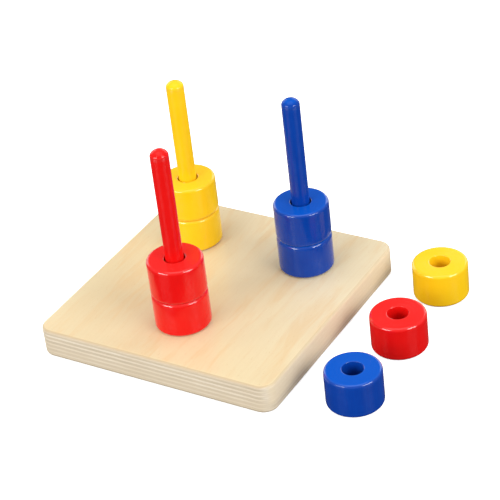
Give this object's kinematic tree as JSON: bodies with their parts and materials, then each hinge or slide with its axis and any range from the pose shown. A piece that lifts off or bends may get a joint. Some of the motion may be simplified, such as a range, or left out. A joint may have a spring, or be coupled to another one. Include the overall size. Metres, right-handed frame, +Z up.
{
  "type": "ring stacking toy",
  "caption": "Square plywood base with round upright pegs in primary colours and thick matching rings that slip over them, for stacking and colour sorting.",
  "frame": {"origin": "centre of the board's underside, on the floor", "axes": "+Z up along the pegs, -Y towards the edge nearest the single red peg, +X towards the loose rings"},
  "size_m": [0.2411, 0.1836, 0.1535],
  "materials": {
    "plywood": "birch plywood under a thin clear satin lacquer",
    "red_paint": "solid wood under gloss red paint",
    "yellow_paint": "solid wood under gloss yellow paint",
    "blue_paint": "solid wood under gloss blue paint",
    "screw_steel": "zinc-plated steel"
  },
  "bodies": {
    "base": {"base_board": "plywood", "peg_red": "red_paint", "peg_yellow": "yellow_paint", "peg_blue": "blue_paint", "peg_screw_red": "screw_steel", "peg_screw_yellow": "screw_steel", "peg_screw_blue": "screw_steel"},
    "ring_red_lower": {"ring_red_lower": "red_paint"},
    "ring_red_upper": {"ring_red_upper": "red_paint"},
    "ring_red_loose": {"ring_red_loose": "red_paint"},
    "ring_yellow_lower": {"ring_yellow_lower": "yellow_paint"},
    "ring_yellow_upper": {"ring_yellow_upper": "yellow_paint"},
    "ring_yellow_loose": {"ring_yellow_loose": "yellow_paint"},
    "ring_blue_lower": {"ring_blue_lower": "blue_paint"},
    "ring_blue_upper": {"ring_blue_upper": "blue_paint"},
    "ring_blue_loose": {"ring_blue_loose": "blue_paint"}
  },
  "joints": [
    {"name": "lift_red_lower", "type": "slide", "parent": "base", "child": "ring_red_lower", "axis": [0, 0, 1], "range_m": [0, 0.1345]},
    {"name": "lift_red_upper", "type": "slide", "parent": "ring_red_lower", "child": "ring_red_upper", "axis": [0, 0, 1], "range_m": [0, 0.1095]},
    {"name": "lift_red_loose", "type": "slide", "parent": "base", "child": "ring_red_loose", "axis": [0, 0, 1], "range_m": [0, 0.1555]},
    {"name": "lift_yellow_lower", "type": "slide", "parent": "base", "child": "ring_yellow_lower", "axis": [0, 0, 1], "range_m": [0, 0.129]},
    {"name": "lift_yellow_upper", "type": "slide", "parent": "ring_yellow_lower", "child": "ring_yellow_upper", "axis": [0, 0, 1], "range_m": [0, 0.104]},
    {"name": "lift_yellow_loose", "type": "slide", "parent": "base", "child": "ring_yellow_loose", "axis": [0, 0, 1], "range_m": [0, 0.15]},
    {"name": "lift_blue_lower", "type": "slide", "parent": "base", "child": "ring_blue_lower", "axis": [0, 0, 1], "range_m": [0, 0.132]},
    {"name": "lift_blue_upper", "type": "slide", "parent": "ring_blue_lower", "child": "ring_blue_upper", "axis": [0, 0, 1], "range_m": [0, 0.107]},
    {"name": "lift_blue_loose", "type": "slide", "parent": "base", "child": "ring_blue_loose", "axis": [0, 0, 1], "range_m": [0, 0.153]}
  ]
}
